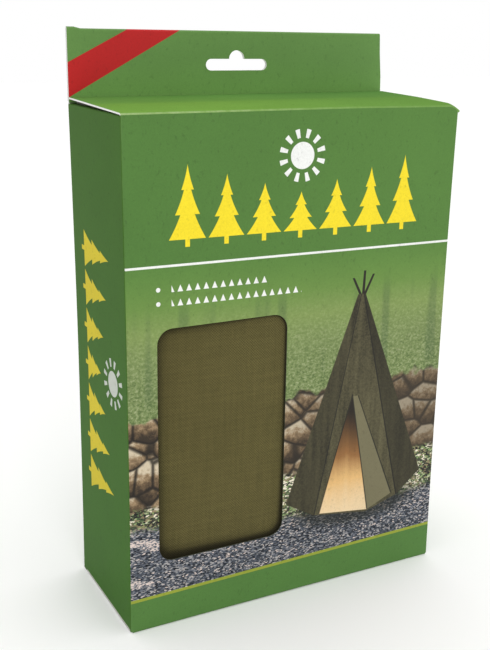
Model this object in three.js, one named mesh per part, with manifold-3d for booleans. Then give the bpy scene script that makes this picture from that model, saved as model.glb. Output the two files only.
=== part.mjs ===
// A windowed hanging carton of printed board, with a folded canvas log carrier packed inside it.
// Millimetres, +Z up. The carton stands on z = 0, its front faces -Y and it is centred on the Z axis.

import * as THREE from "three";
import { mergeVertices } from "three/addons/utils/BufferGeometryUtils.js";
import Module from "manifold-3d";

const wasm = await Module();
wasm.setup();

// Carton
const cartonWidth = 165;
const cartonDepth = 65;
const cartonHeight = 231;
const board = 0.7;
const pieceGap = 0.3; // between pieces that touch or are joined on the real product

// Window in the front panel
const windowWidth = 63;
const windowHeight = 109;
const windowCornerRadius = 7;
const windowFromLeft = 14.3; // carton's left edge to the window
const windowFromBase = 32.4;

// Lid: the top panel swings on the crease at the front, and its tuck flap goes down inside the back
const tuckDepth = 14;
const tuckLean = 9; // degrees that the flap leans in, so that its tip clears the back as it swings
const tuckInset = 3.5; // each end of the flap, inside the carton's width
const tuckCornerRadius = 7;
const lidCornerRadius = 1.5;

// Dust flaps, two under the lid and two over the bottom panel
const dustFlapLength = 44;
const dustFlapRearClearance = 4; // leaves room for the tuck flap
const dustFlapTaper = 5;

// Hang tab: the back panel runs up past the lid and is folded over on itself
const tabHeight = 30.6;
const slotLength = 32;
const slotHeight = 5.3;
const slotBumpRadius = 4;
const slotAboveLid = 12.6;

// Glued seam
const seamFlapWidth = 14;
const seamFlapEndClearance = 5; // seam flap to the tuck flaps

// Folded canvas body: a band of several plies, fan-folded
const canvasWall = 2.4;
const bundleSideClearance = 6.8; // room at each side for the handles
const bundleTopClearance = 15; // room for them under the dust flaps
const bundlePillow = 3.6; // how far the bundle's faces draw back at its edges
const bundleCornerDrop = 4.2; // how far its top corners are rounded down
const bundleFrontClearance = 0.6; // carton's front panel to the crown of the front fold
const widthSteps = 8;
const layerSteps = 6;
const bendSteps = 5;

// Where the band turns or ends, from the front to the rear. Short is the share of the bundle's height
// by which that turn or edge stays inside the bundle's full height.
const turns = [
  { end: "top", short: 0.012 }, // front free edge
  { end: "bottom", short: 0 },
  { end: "top", short: 0.016 },
  { end: "bottom", short: 0.012 },
  { end: "top", short: 0 },
  { end: "bottom", short: 0.004 },
  { end: "top", short: 0.009 },
  { end: "bottom", short: 0.008 },
  { end: "top", short: 0.035 }, // rear free edge
];

// Edge binding on the band's two free edges
const bindingWall = 1;
const bindingDepth = 11;

// Two webbing handles, one on the other over the bundle, and the canvas grip wrapped round both
const webbingWidth = 38;
const webbingThickness = 1.8;
const webbingBendRadius = 5;
const handleLegLength = 96;
const gripLength = 104;
const gripWall = 1.2;
const gripInnerRadius = 0.2;
const gripCornerRadius = gripInnerRadius + gripWall;

// Planes that the pieces share
const left = -cartonWidth / 2;
const right = cartonWidth / 2;
const front = -cartonDepth / 2;
const back = cartonDepth / 2;
const frontInside = front + board;
const backInside = back - board;
const tabTop = cartonHeight + tabHeight;
const tabFlapFront = backInside - pieceGap - board;
const flapLayer = board + pieceGap; // one board and the gap under it
const windowLeft = left + windowFromLeft;

const colours = {
  printedGreen: { color: 0x5d8946, roughness: 0.55 },
  printedSide: { color: 0x4e6f3c, roughness: 0.55 },
  printedTop: { color: 0x7a9e48, roughness: 0.55 },
  rawBoard: { color: 0xd9d4c6, roughness: 0.9 },
  canvas: { color: 0x5f5939, roughness: 0.95 },
  binding: { color: 0x1d1d1c, roughness: 0.9 },
  webbing: { color: 0x1a1a1b, roughness: 0.8 },
};

function makeMesh(name, geometry, finish) {
  const material = new THREE.MeshStandardMaterial({ ...colours[finish], metalness: 0 });
  const mesh = new THREE.Mesh(geometry, material);
  mesh.name = name;
  return mesh;
}

// A flat panel lying in the plane of its outline, with its thickness along the outline's normal.
function boardPlate(outline) {
  return new THREE.ExtrudeGeometry(outline, { depth: board, bevelEnabled: false, curveSegments: 8 });
}

function rectangle(x0, x1, y0, y1) {
  const shape = new THREE.Shape();
  shape.moveTo(x0, y0);
  shape.lineTo(x1, y0);
  shape.lineTo(x1, y1);
  shape.lineTo(x0, y1);
  shape.closePath();
  return shape;
}

function roundedRectangle(x0, x1, y0, y1, r, PathClass) {
  const path = new PathClass();
  path.moveTo(x0 + r, y0);
  path.lineTo(x1 - r, y0);
  path.absarc(x1 - r, y0 + r, r, -Math.PI / 2, 0, false);
  path.lineTo(x1, y1 - r);
  path.absarc(x1 - r, y1 - r, r, 0, Math.PI / 2, false);
  path.lineTo(x0 + r, y1);
  path.absarc(x0 + r, y1 - r, r, Math.PI / 2, Math.PI, false);
  path.lineTo(x0, y0 + r);
  path.absarc(x0 + r, y0 + r, r, Math.PI, Math.PI * 1.5, false);
  return path;
}

// Stands a plate drawn in X and Z up, with its outer or inner face towards the front at frontFace.
function standAcross(mesh, frontFace) {
  mesh.rotation.x = Math.PI / 2;
  mesh.position.y = frontFace + board;
  return mesh;
}

// Stands a plate drawn in Y and Z up, from leftFace to the right.
function standAlong(mesh, leftFace) {
  mesh.rotation.set(Math.PI / 2, 0, Math.PI / 2, "ZYX");
  mesh.position.x = leftFace;
  return mesh;
}

function frontPanel() {
  const outline = rectangle(left, right, flapLayer, cartonHeight - flapLayer);
  const cut = roundedRectangle(
    windowLeft,
    windowLeft + windowWidth,
    windowFromBase,
    windowFromBase + windowHeight,
    windowCornerRadius,
    THREE.Path,
  );
  outline.holes.push(cut);
  return standAcross(makeMesh("front_panel", boardPlate(outline), "printedGreen"), front);
}

function sidePanel(name, leftFace) {
  const outline = rectangle(
    frontInside + pieceGap,
    backInside - pieceGap,
    2 * flapLayer,
    cartonHeight - 2 * flapLayer,
  );
  return standAlong(makeMesh(name, boardPlate(outline), "printedSide"), leftFace);
}

// The hanging slot: a long slot with round ends and a round bump over its middle, for a display hook.
function hangingSlot() {
  const low = cartonHeight + slotAboveLid;
  const high = low + slotHeight;
  const endRadius = slotHeight / 2;
  const reach = slotLength / 2 - endRadius;
  const path = new THREE.Shape();
  path.moveTo(-reach, low);
  path.lineTo(reach, low);
  path.absarc(reach, low + endRadius, endRadius, -Math.PI / 2, Math.PI / 2, false);
  path.lineTo(slotBumpRadius, high);
  path.absarc(0, high, slotBumpRadius, 0, Math.PI, false);
  path.lineTo(-reach, high);
  path.absarc(-reach, low + endRadius, endRadius, Math.PI / 2, Math.PI * 1.5, false);
  return path;
}

function backPanel() {
  const outline = rectangle(left, right, 0, tabTop - flapLayer);
  outline.holes.push(hangingSlot());
  return standAcross(makeMesh("back_panel", boardPlate(outline), "printedGreen"), backInside);
}

function toSolid(geometry) {
  const bare = geometry.index ? geometry.toNonIndexed() : geometry.clone();
  bare.deleteAttribute("normal");
  bare.deleteAttribute("uv");
  const merged = mergeVertices(bare, 1e-4);
  return new wasm.Manifold(
    new wasm.Mesh({
      numProp: 3,
      vertProperties: merged.attributes.position.array,
      triVerts: new Uint32Array(merged.index.array),
    }),
  );
}

function toGeometry(solid) {
  const mesh = solid.getMesh();
  const geometry = new THREE.BufferGeometry();
  geometry.setAttribute("position", new THREE.BufferAttribute(mesh.vertProperties, 3));
  geometry.setIndex(new THREE.BufferAttribute(mesh.triVerts, 1));
  geometry.computeVertexNormals();
  return geometry;
}

// Carries a section drawn in Y and Z across the width, centred on the middle plane.
function extrudeAcross(section, length) {
  const geometry = new THREE.ExtrudeGeometry(section, {
    depth: length,
    bevelEnabled: false,
    curveSegments: 5,
  });
  geometry.translate(0, 0, -length / 2);
  geometry.rotateX(Math.PI / 2);
  geometry.rotateZ(Math.PI / 2);
  return geometry;
}

// The folded-over ply of the hang tab: its section runs up the front of the rear ply and over its top.
function hangTabFront() {
  const section = new THREE.Shape();
  section.moveTo(tabFlapFront, cartonHeight - board);
  section.lineTo(tabFlapFront + board, cartonHeight - board);
  section.lineTo(tabFlapFront + board, tabTop - board);
  section.lineTo(back, tabTop - board);
  section.absarc(backInside, tabTop - board, board, 0, Math.PI / 2, false);
  section.lineTo(tabFlapFront + board, tabTop);
  section.absarc(tabFlapFront + board, tabTop - board, board, Math.PI / 2, Math.PI, false);
  const ply = extrudeAcross(section, cartonWidth);
  const cutter = new THREE.ExtrudeGeometry(hangingSlot(), {
    depth: 2 * board,
    bevelEnabled: false,
    curveSegments: 8,
  });
  cutter.rotateX(Math.PI / 2);
  cutter.translate(0, tabFlapFront + board * 1.5, 0);
  const solid = toSolid(ply).subtract(toSolid(cutter));
  return makeMesh("hang_tab_front_ply", toGeometry(solid), "printedGreen");
}

function seamFlap() {
  const clear = tuckDepth + flapLayer + seamFlapEndClearance;
  const outer = right - flapLayer;
  const outline = rectangle(outer - seamFlapWidth, outer, clear, cartonHeight - clear);
  return standAcross(makeMesh("seam_flap", boardPlate(outline), "rawBoard"), backInside - flapLayer);
}

// A flap that closes an end under the panel: towards is 1 from the left side and -1 from the right.
function dustFlap(name, towards, underside) {
  const root = towards * left;
  const tip = root + towards * dustFlapLength;
  const shoulder = root + towards * 2 * flapLayer;
  const frontEdge = frontInside + pieceGap;
  const rearEdge = backInside - pieceGap;
  const outline = new THREE.Shape();
  outline.moveTo(root, frontEdge);
  outline.lineTo(shoulder, frontEdge);
  outline.lineTo(tip, frontEdge + dustFlapTaper);
  outline.lineTo(tip, rearEdge - dustFlapRearClearance - dustFlapTaper);
  outline.lineTo(shoulder, rearEdge - dustFlapRearClearance);
  outline.lineTo(root, rearEdge - dustFlapRearClearance);
  outline.closePath();
  const mesh = makeMesh(name, boardPlate(outline), "rawBoard");
  mesh.position.z = underside;
  return mesh;
}

function tuckOutline() {
  const half = cartonWidth / 2 - tuckInset;
  const r = tuckCornerRadius;
  const outline = new THREE.Shape();
  outline.moveTo(half, 0);
  outline.lineTo(-half, 0);
  outline.lineTo(-half, r - tuckDepth);
  outline.absarc(r - half, r - tuckDepth, r, Math.PI, Math.PI * 1.5, false);
  outline.lineTo(half - r, -tuckDepth);
  outline.absarc(half - r, r - tuckDepth, r, -Math.PI / 2, 0, false);
  outline.closePath();
  return outline;
}

// The lid's own origin is its crease, on the carton's front top edge.
function lid() {
  const reach = tabFlapFront - pieceGap - front;
  const panel = makeMesh(
    "top_panel",
    boardPlate(roundedRectangle(left, right, 0, reach, lidCornerRadius, THREE.Shape)),
    "printedTop",
  );
  panel.position.z = -board;
  const tuck = makeMesh("top_tuck_flap", boardPlate(tuckOutline()), "rawBoard");
  tuck.rotation.x = Math.PI / 2;
  const leaning = new THREE.Group();
  leaning.add(tuck);
  leaning.position.set(0, reach, -flapLayer);
  leaning.rotation.x = -THREE.MathUtils.degToRad(tuckLean);
  const group = new THREE.Group();
  group.add(panel, leaning);
  group.position.set(0, front, cartonHeight);
  return group;
}

function bottom() {
  const rear = backInside - pieceGap;
  const panel = makeMesh("bottom_panel", boardPlate(rectangle(left, right, front, rear)), "printedSide");
  const tuck = makeMesh("bottom_tuck_flap", boardPlate(tuckOutline()), "rawBoard");
  tuck.rotation.x = -Math.PI / 2;
  tuck.position.set(0, rear - board, flapLayer);
  const group = new THREE.Group();
  group.add(panel, tuck);
  return group;
}

// The bundle's own place: on the bottom dust flaps, between the front panel and the flaps at the back.
const bundleWidth = cartonWidth - 2 * (board + bundleSideClearance);
const bundleBase = 2 * flapLayer;
const bundleHeight = cartonHeight - 2 * flapLayer - bundleBase - bundleTopClearance;
const bundleFront = frontInside + bundleFrontClearance;
const bundleBack = backInside - flapLayer - pieceGap;
const layers = turns.length - 1;
const layerPitch = (bundleBack - bundleFront - canvasWall) / (layers - 1);

// How far a point of the band moves in Y: the faces draw back towards the bundle's edges, and each
// layer between them takes its share. Layer runs from 0 at the front to layers - 1 at the rear.
function pillowShift(x, z, layer) {
  const across = x / (bundleWidth / 2);
  const along = ((z - bundleBase) / bundleHeight) * 2 - 1;
  const crown = (1 - across ** 2) * (1 - Math.min(1, along ** 2));
  return bundlePillow * (1 - crown) * (1 - (2 * layer) / (layers - 1));
}

// How far a point of the band lies below its height at the middle, towards the bundle's top corners.
function cornerDrop(x, z) {
  const across = x / (bundleWidth / 2);
  const up = (z - bundleBase) / bundleHeight;
  return bundleCornerDrop * across ** 6 * up ** 2;
}

function layerMiddle(layer) {
  return bundleFront + canvasWall / 2 + layer * layerPitch;
}

function turnHeight(turn) {
  const inside = turn.short * bundleHeight + canvasWall / 2;
  return turn.end === "top" ? bundleBase + bundleHeight - inside : bundleBase + inside;
}

// A point of a band's middle line, with the direction across its wall and the layer that it is on.
function station(y, z, across, layer) {
  return { y, z, across: new THREE.Vector2(Math.cos(across), Math.sin(across)), layer };
}

function canvasMiddleLine() {
  const radius = layerPitch / 2;
  const line = [];
  for (let layer = 0; layer < layers; layer++) {
    const down = layer % 2 === 0;
    const from = turns[layer];
    const to = turns[layer + 1];
    const startInset = layer === 0 ? -canvasWall / 2 : radius;
    const endInset = layer === layers - 1 ? -canvasWall / 2 : radius;
    const start = turnHeight(from) + (down ? -startInset : startInset);
    const end = turnHeight(to) + (down ? endInset : -endInset);
    const y = layerMiddle(layer);
    const facing = down ? Math.PI : 0;
    for (let step = 0; step <= layerSteps; step++) {
      line.push(station(y, THREE.MathUtils.lerp(start, end, step / layerSteps), facing, layer));
    }
    if (layer === layers - 1) continue;
    for (let step = 1; step < bendSteps; step++) {
      const share = step / bendSteps;
      const turned = Math.PI * share;
      const bendY = y + radius - radius * Math.cos(turned);
      const bendZ = end + (down ? -1 : 1) * radius * Math.sin(turned);
      line.push(station(bendY, bendZ, down ? Math.PI + turned : -turned, layer + share));
    }
  }
  return line;
}

// A closed wall along a middle line in Y and Z, carried across the width in steps.
function bandGeometry(line, wall) {
  const rings = [];
  for (let step = 0; step <= widthSteps; step++) {
    const x = THREE.MathUtils.lerp(-bundleWidth / 2, bundleWidth / 2, step / widthSteps);
    const side = (sign) => line.map((at) => {
      const y = at.y + pillowShift(x, at.z, at.layer);
      const z = at.z - cornerDrop(x, at.z);
      return [x, y + (at.across.x * sign * wall) / 2, z + (at.across.y * sign * wall) / 2];
    });
    rings.push([...side(1), ...side(-1).reverse()]);
  }
  const around = rings[0].length;
  const index = [];
  const quad = (a, b, c, d) => index.push(a, b, c, a, c, d);
  for (let step = 0; step < widthSteps; step++) {
    for (let k = 0; k < around; k++) {
      const next = (k + 1) % around;
      quad(step * around + k, step * around + next, (step + 1) * around + next, (step + 1) * around + k);
    }
  }
  const lastRing = widthSteps * around;
  for (let k = 0; k < line.length - 1; k++) {
    const across = around - 1 - k;
    quad(k, across, across - 1, k + 1);
    quad(lastRing + k, lastRing + k + 1, lastRing + across - 1, lastRing + across);
  }
  const geometry = new THREE.BufferGeometry();
  geometry.setAttribute("position", new THREE.Float32BufferAttribute(rings.flat(2), 3));
  geometry.setIndex(index);
  geometry.computeVertexNormals();
  return geometry;
}

function canvasBody() {
  return makeMesh("canvas_body", bandGeometry(canvasMiddleLine(), canvasWall), "canvas");
}

// A strip folded over a free edge of the band, down both of its faces.
function edgeBinding(name, layer, turn) {
  const reach = canvasWall / 2 + pieceGap + bindingWall / 2;
  const edge = turnHeight(turn) + canvasWall / 2;
  const y = layerMiddle(layer);
  const low = edge - bindingDepth;
  const line = [station(y + reach, low, 0, layer)];
  for (let step = 0; step <= bendSteps; step++) {
    const angle = (Math.PI * step) / bendSteps;
    const bendZ = edge + reach * Math.sin(angle);
    line.push(station(y + reach * Math.cos(angle), bendZ, angle, layer));
  }
  line.push(station(y - reach, low, Math.PI, layer));
  return makeMesh(name, bandGeometry(line, bindingWall), "binding");
}

// A webbing handle: it crosses the top of the bundle and goes down both of its sides.
const gripUnderside = bundleBase + bundleHeight + pieceGap;

function handle(name, order) {
  const step = webbingThickness + pieceGap;
  const low = gripUnderside + gripWall + pieceGap + order * step;
  const inner = bundleWidth / 2 + pieceGap + order * step;
  const outer = inner + webbingThickness;
  const high = low + webbingThickness;
  const innerRadius = webbingBendRadius + order * step;
  const outerRadius = innerRadius + webbingThickness;
  const foot = bundleBase + bundleHeight - handleLegLength;
  const outline = new THREE.Shape();
  outline.moveTo(-outer, foot);
  outline.lineTo(-inner, foot);
  outline.lineTo(-inner, low - innerRadius);
  outline.absarc(innerRadius - inner, low - innerRadius, innerRadius, Math.PI, Math.PI / 2, true);
  outline.lineTo(inner - innerRadius, low);
  outline.absarc(inner - innerRadius, low - innerRadius, innerRadius, Math.PI / 2, 0, true);
  outline.lineTo(inner, foot);
  outline.lineTo(outer, foot);
  outline.lineTo(outer, high - outerRadius);
  outline.absarc(outer - outerRadius, high - outerRadius, outerRadius, 0, Math.PI / 2, false);
  outline.lineTo(outerRadius - outer, high);
  outline.absarc(outerRadius - outer, high - outerRadius, outerRadius, Math.PI / 2, Math.PI, false);
  outline.closePath();
  const strap = new THREE.ExtrudeGeometry(outline, {
    depth: webbingWidth,
    bevelEnabled: false,
    curveSegments: 5,
  });
  const mesh = makeMesh(name, strap, "webbing");
  mesh.rotation.x = Math.PI / 2;
  mesh.position.y = webbingWidth / 2;
  return mesh;
}

// The grip: a flat sleeve of canvas closed round both handles at the middle.
function handleGrip() {
  const innerHeight = 2 * webbingThickness + 3 * pieceGap;
  const innerHalf = webbingWidth / 2 + pieceGap;
  const low = gripUnderside;
  const high = low + innerHeight + 2 * gripWall;
  const outline = roundedRectangle(
    -innerHalf - gripWall,
    innerHalf + gripWall,
    low,
    high,
    gripCornerRadius,
    THREE.Shape,
  );
  outline.holes.push(
    roundedRectangle(-innerHalf, innerHalf, low + gripWall, high - gripWall, gripInnerRadius, THREE.Path),
  );
  return makeMesh("handle_grip", extrudeAcross(outline, gripLength), "canvas");
}

const carton = new THREE.Group();
carton.add(
  frontPanel(),
  sidePanel("left_side_panel", left),
  sidePanel("right_side_panel", right - board),
  backPanel(),
  hangTabFront(),
  seamFlap(),
  dustFlap("top_dust_flap_left", 1, cartonHeight - 2 * flapLayer + pieceGap),
  dustFlap("top_dust_flap_right", -1, cartonHeight - 2 * flapLayer + pieceGap),
  dustFlap("bottom_dust_flap_left", 1, flapLayer),
  dustFlap("bottom_dust_flap_right", -1, flapLayer),
  bottom(),
);

const carrier = new THREE.Group();
carrier.add(
  canvasBody(),
  edgeBinding("front_edge_binding", 0, turns[0]),
  edgeBinding("rear_edge_binding", layers - 1, turns[layers]),
  handle("lower_handle", 0),
  handle("upper_handle", 1),
  handleGrip(),
);

const packedCarrier = new THREE.Group();
packedCarrier.add(carton, lid(), carrier);
export default packedCarrier;
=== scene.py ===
# A windowed hanging carton of printed board, with a folded canvas log carrier packed inside it.
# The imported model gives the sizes. Everything is in metres, +Z up, with the carton's front facing -Y.

import math

import bmesh
import bpy
from mathutils import Matrix, Vector, noise


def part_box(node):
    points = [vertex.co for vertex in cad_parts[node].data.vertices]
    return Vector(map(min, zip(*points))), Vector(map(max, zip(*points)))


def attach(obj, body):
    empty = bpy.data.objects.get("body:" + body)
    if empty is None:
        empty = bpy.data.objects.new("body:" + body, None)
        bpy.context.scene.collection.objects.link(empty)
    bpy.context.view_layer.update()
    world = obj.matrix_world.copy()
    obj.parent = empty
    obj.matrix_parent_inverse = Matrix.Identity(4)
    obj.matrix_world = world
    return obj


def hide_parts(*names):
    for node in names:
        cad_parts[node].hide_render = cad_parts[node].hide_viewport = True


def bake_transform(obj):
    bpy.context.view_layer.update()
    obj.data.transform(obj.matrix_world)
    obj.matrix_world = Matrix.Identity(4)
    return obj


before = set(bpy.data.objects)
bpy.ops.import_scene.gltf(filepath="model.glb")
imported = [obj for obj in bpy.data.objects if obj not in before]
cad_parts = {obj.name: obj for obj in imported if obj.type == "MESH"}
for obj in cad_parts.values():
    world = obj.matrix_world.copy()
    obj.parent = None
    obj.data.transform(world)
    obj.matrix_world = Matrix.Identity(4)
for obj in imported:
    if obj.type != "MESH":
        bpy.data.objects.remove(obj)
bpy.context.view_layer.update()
MM = 0.001


# The photograph's view. The carton is seen from its left front corner, a little from above, through a
# lens a bit longer than normal, and the picture is turned by less than one degree.

view_from = Vector((-0.2237, -0.4081, 0.2653))
view_to = Vector((-0.0097, 0.0, 0.1277))
view_roll = math.radians(0.84)

ahead = (view_to - view_from).normalized()
level = ahead.cross(Vector((0, 0, 1))).normalized()
upward = level.cross(ahead)
tilted_right = level * math.cos(view_roll) + upward * math.sin(view_roll)
tilted_up = upward * math.cos(view_roll) - level * math.sin(view_roll)

lens = bpy.data.cameras.new("photograph_lens")
lens.sensor_width = 36
lens.lens = 56.15
lens.clip_start = 0.01
camera = bpy.data.objects.new("photograph_camera", lens)
camera.matrix_world = Matrix((
    (tilted_right.x, tilted_up.x, -ahead.x, view_from.x),
    (tilted_right.y, tilted_up.y, -ahead.y, view_from.y),
    (tilted_right.z, tilted_up.z, -ahead.z, view_from.z),
    (0, 0, 0, 1),
))
bpy.context.scene.collection.objects.link(camera)
bpy.context.scene.camera = camera


# The studio: a pale matt floor under a soft white sky that is dimmer at the left, which leaves the left
# side of the carton darker, with one broad lamp high in front and another overhead.

floor_paint = bpy.data.materials.new("pale_floor_paint")
floor_paint.use_nodes = True
floor_shader = floor_paint.node_tree.nodes["Principled BSDF"]
floor_shader.inputs["Base Color"].default_value = (0.96, 0.96, 0.95, 1)
floor_shader.inputs["Roughness"].default_value = 0.9

bpy.ops.object.select_all(action="DESELECT")
bpy.ops.mesh.primitive_plane_add(size=8, location=(0, 0, 0))
floor = bpy.context.object
floor.name = "studio_floor"
floor.data.materials.append(floor_paint)

sky = bpy.data.worlds.new("studio_sky")
sky.use_nodes = True
sky_nodes = sky.node_tree.nodes
toward = sky_nodes.new("ShaderNodeTexCoord")
split_toward = sky_nodes.new("ShaderNodeSeparateXYZ")
dimmer = sky_nodes.new("ShaderNodeMapRange")
for socket, number in zip(dimmer.inputs[1:5], (-0.8, 0.1, 0.62, 1.0)):
    socket.default_value = number
sky.node_tree.links.new(toward.outputs["Generated"], split_toward.inputs["Vector"])
sky.node_tree.links.new(split_toward.outputs["X"], dimmer.inputs["Value"])
sky.node_tree.links.new(dimmer.outputs["Result"], sky_nodes["Background"].inputs["Strength"])
sky_nodes["Background"].inputs["Color"].default_value = (1.0, 1.0, 1.0, 1)
bpy.context.scene.world = sky
bpy.context.scene.view_settings.view_transform = "Standard"

front_lamp = bpy.data.lights.new("front_lamp", "AREA")
front_lamp.size = 0.7
front_lamp.energy = 5
stand = bpy.data.objects.new("front_lamp", front_lamp)
stand.location = (-0.3, -1.5, 1.15)
stand.rotation_euler = (Vector((0, 0, 0.12)) - stand.location).to_track_quat("-Z", "Y").to_euler()
bpy.context.scene.collection.objects.link(stand)
overhead = bpy.data.lights.new("overhead_lamp", "SUN")
overhead.angle = math.radians(60)
overhead.energy = 0.6
bpy.context.scene.collection.objects.link(bpy.data.objects.new("overhead_lamp", overhead))


# The carton's board: one blank of folding board, printed outside and bare inside, folded round into a
# tube with rounded creases. The back runs up into the hang tab, which is folded over on itself, the
# front runs round into the bottom, and the sides run over into the two dust flaps under the lid.

front_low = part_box("front_panel")[0]
back_low, back_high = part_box("back_panel")
lid_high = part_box("top_panel")[1]
tab_low, tab_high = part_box("hang_tab_front_ply")
dust_low, dust_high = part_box("top_dust_flap_left")
bottom_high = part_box("bottom_panel")[1]
bottom_tuck_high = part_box("bottom_tuck_flap")[1]

left, right = back_low.x, back_high.x
front, back = front_low.y, back_high.y
board = back_high.y - back_low.y
crease_radius = 0.78 * MM
tab_fold_radius = (back_high.y - tab_low.y) / 2
lid_level = lid_high.z
flap_crease_radius = 0.8 * MM
HALF_TURN = math.pi


def start_shaping(obj):
    """Goes into edit mode on one piece alone."""
    bpy.ops.object.select_all(action="DESELECT")
    obj.select_set(True)
    bpy.context.view_layer.objects.active = obj
    bpy.ops.object.mode_set(mode="EDIT")


def end_shaping():
    bpy.ops.object.mode_set(mode="OBJECT")


def pick_by(obj, kind, rule):
    """Selects, in edit mode, the elements of one kind whose list of corners passes the rule."""
    bpy.ops.mesh.select_mode(type=kind)
    bpy.ops.mesh.select_all(action="DESELECT")
    shape = bmesh.from_edit_mesh(obj.data)
    for element in {"VERT": shape.verts, "EDGE": shape.edges, "FACE": shape.faces}[kind]:
        corners = [element] if kind == "VERT" else element.verts
        if rule([corner.co for corner in corners]):
            element.select_set(True)
    bmesh.update_edit_mesh(obj.data)


def near(a, b, reach=0.02 * MM):
    return abs(a - b) < reach


def pick(obj, kind, where):
    """Selects the elements whose corners all lie where the rule says."""
    pick_by(obj, kind, lambda corners: all(map(where, corners)))


def pick_edges_along(obj, axis):
    """Selects the edges that run along an axis: 0 for X, 1 for Y and 2 for Z."""
    pick_by(obj, "EDGE", lambda ends: not near(ends[0][axis], ends[1][axis]))


def apply_place():
    bpy.ops.object.transform_apply(location=True, rotation=False, scale=True)


def block(name, middle, size):
    """A plain block, to be shaped further."""
    bpy.ops.mesh.primitive_cube_add(size=1, location=middle, scale=size)
    made = bpy.context.object
    made.name = name
    apply_place()
    return made


def carry(x=0.0, y=0.0, z=0.0):
    """Extrudes what is selected by a step."""
    bpy.ops.mesh.extrude_region_move(TRANSFORM_OT_translate={"value": (x, y, z)})


def roll_over(centre, axis, angle, steps=4):
    """Extrudes what is selected round a crease. Spin turns against the right-hand rule."""
    bpy.ops.mesh.spin(steps=steps, angle=-angle, center=centre, axis=axis)


def cut_grid(obj, places, direction):
    """Cuts a line right through the piece at each place along a direction, so that it can bow later."""
    for place in places:
        bpy.ops.mesh.select_mode(type="FACE")
        bpy.ops.mesh.select_all(action="SELECT")
        bpy.ops.mesh.bisect(plane_co=Vector(direction) * place, plane_no=direction)


tube_low, tube_high = crease_radius, lid_level - crease_radius
carton = block(
    "carton_board",
    ((left + right) / 2, (front + back) / 2, (tube_low + tube_high) / 2),
    (right - left, back - front, tube_high - tube_low),
)

start_shaping(carton)
pick(carton, "FACE", lambda c: near(c.z, tube_low))
bpy.ops.mesh.delete(type="FACE")
pick(carton, "FACE", lambda c: near(c.z, tube_high))
bpy.ops.mesh.delete(type="FACE")
pick_edges_along(carton, 2)
bpy.ops.mesh.bevel(offset=crease_radius, segments=4, affect="EDGES")

# the sides stop lower than the front, because their flaps lie under the lid, and stand on the bottom panel
side_drop = lid_level - dust_high.z + flap_crease_radius - crease_radius
pick(carton, "VERT", lambda c: near(c.z, tube_high) and near(abs(c.x), right))
bpy.ops.transform.translate(value=(0, 0, -side_drop))
pick(carton, "VERT", lambda c: near(c.z, tube_low) and near(abs(c.x), right))
bpy.ops.transform.translate(value=(0, 0, board + 0.1 * MM - tube_low))

# the bottom panel, round the front's lower crease, and its tuck flap inside the back
pick(carton, "EDGE", lambda c: near(c.z, tube_low) and near(c.y, front))
roll_over((0, front + crease_radius, tube_low), (1, 0, 0), HALF_TURN / 2)
carry(y=bottom_high.y - front - 2 * crease_radius)
roll_over((0, bottom_high.y - crease_radius, crease_radius), (1, 0, 0), HALF_TURN / 2)
carry(z=bottom_tuck_high.z - crease_radius)

# the hang tab, up from the back, over the fold and down to the lid
pick(carton, "EDGE", lambda c: near(c.z, tube_high) and near(c.y, back))
carry(z=crease_radius)
bpy.ops.transform.resize(value=(right / (right - crease_radius), 1, 1))
carry(z=tab_high.z - tab_fold_radius - lid_level)
roll_over((0, back - tab_fold_radius, tab_high.z - tab_fold_radius), (1, 0, 0), HALF_TURN, 6)
carry(z=tab_low.z - tab_high.z + tab_fold_radius)

# the dust flaps, in from the tops of the sides
side_top = tube_high - side_drop
for side, turn in ((left, 1), (right, -1)):
    inward = math.copysign(1, -side)
    pick(carton, "EDGE", lambda c: near(c.z, side_top) and near(c.x, side))
    roll_over((side + inward * flap_crease_radius, 0, side_top), (0, turn, 0), HALF_TURN / 2)
    carry(x=inward * (dust_high.x - dust_low.x - flap_crease_radius))

# lines to bow along, a finger's width apart, and closer ones for the tab's ear and the lid's curled corner
grid = 12 * MM
lines_across = [grid * n for n in range(-6, 7)]
lines_deep = [grid * n for n in range(-2, 3)]
ear_lines = [-79 * MM, -76 * MM]
curl_lines = [n * MM for n in (77.5, 79.3, 80.6, 81.5)]
cut_grid(carton, lines_across + ear_lines + curl_lines, (1, 0, 0))
cut_grid(carton, lines_deep + [front + 4 * MM], (0, 1, 0))
cut_grid(carton, [grid * n for n in range(1, 22)], (0, 0, 1))
end_shaping()


def apply_modifier(obj, kind, **settings):
    """Adds a modifier, sets it and applies it."""
    bpy.context.view_layer.objects.active = obj
    tool = obj.modifiers.new(kind.lower(), kind)
    for name, value in settings.items():
        setattr(tool, name, value)
    bpy.ops.object.modifier_apply(modifier=tool.name)


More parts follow.
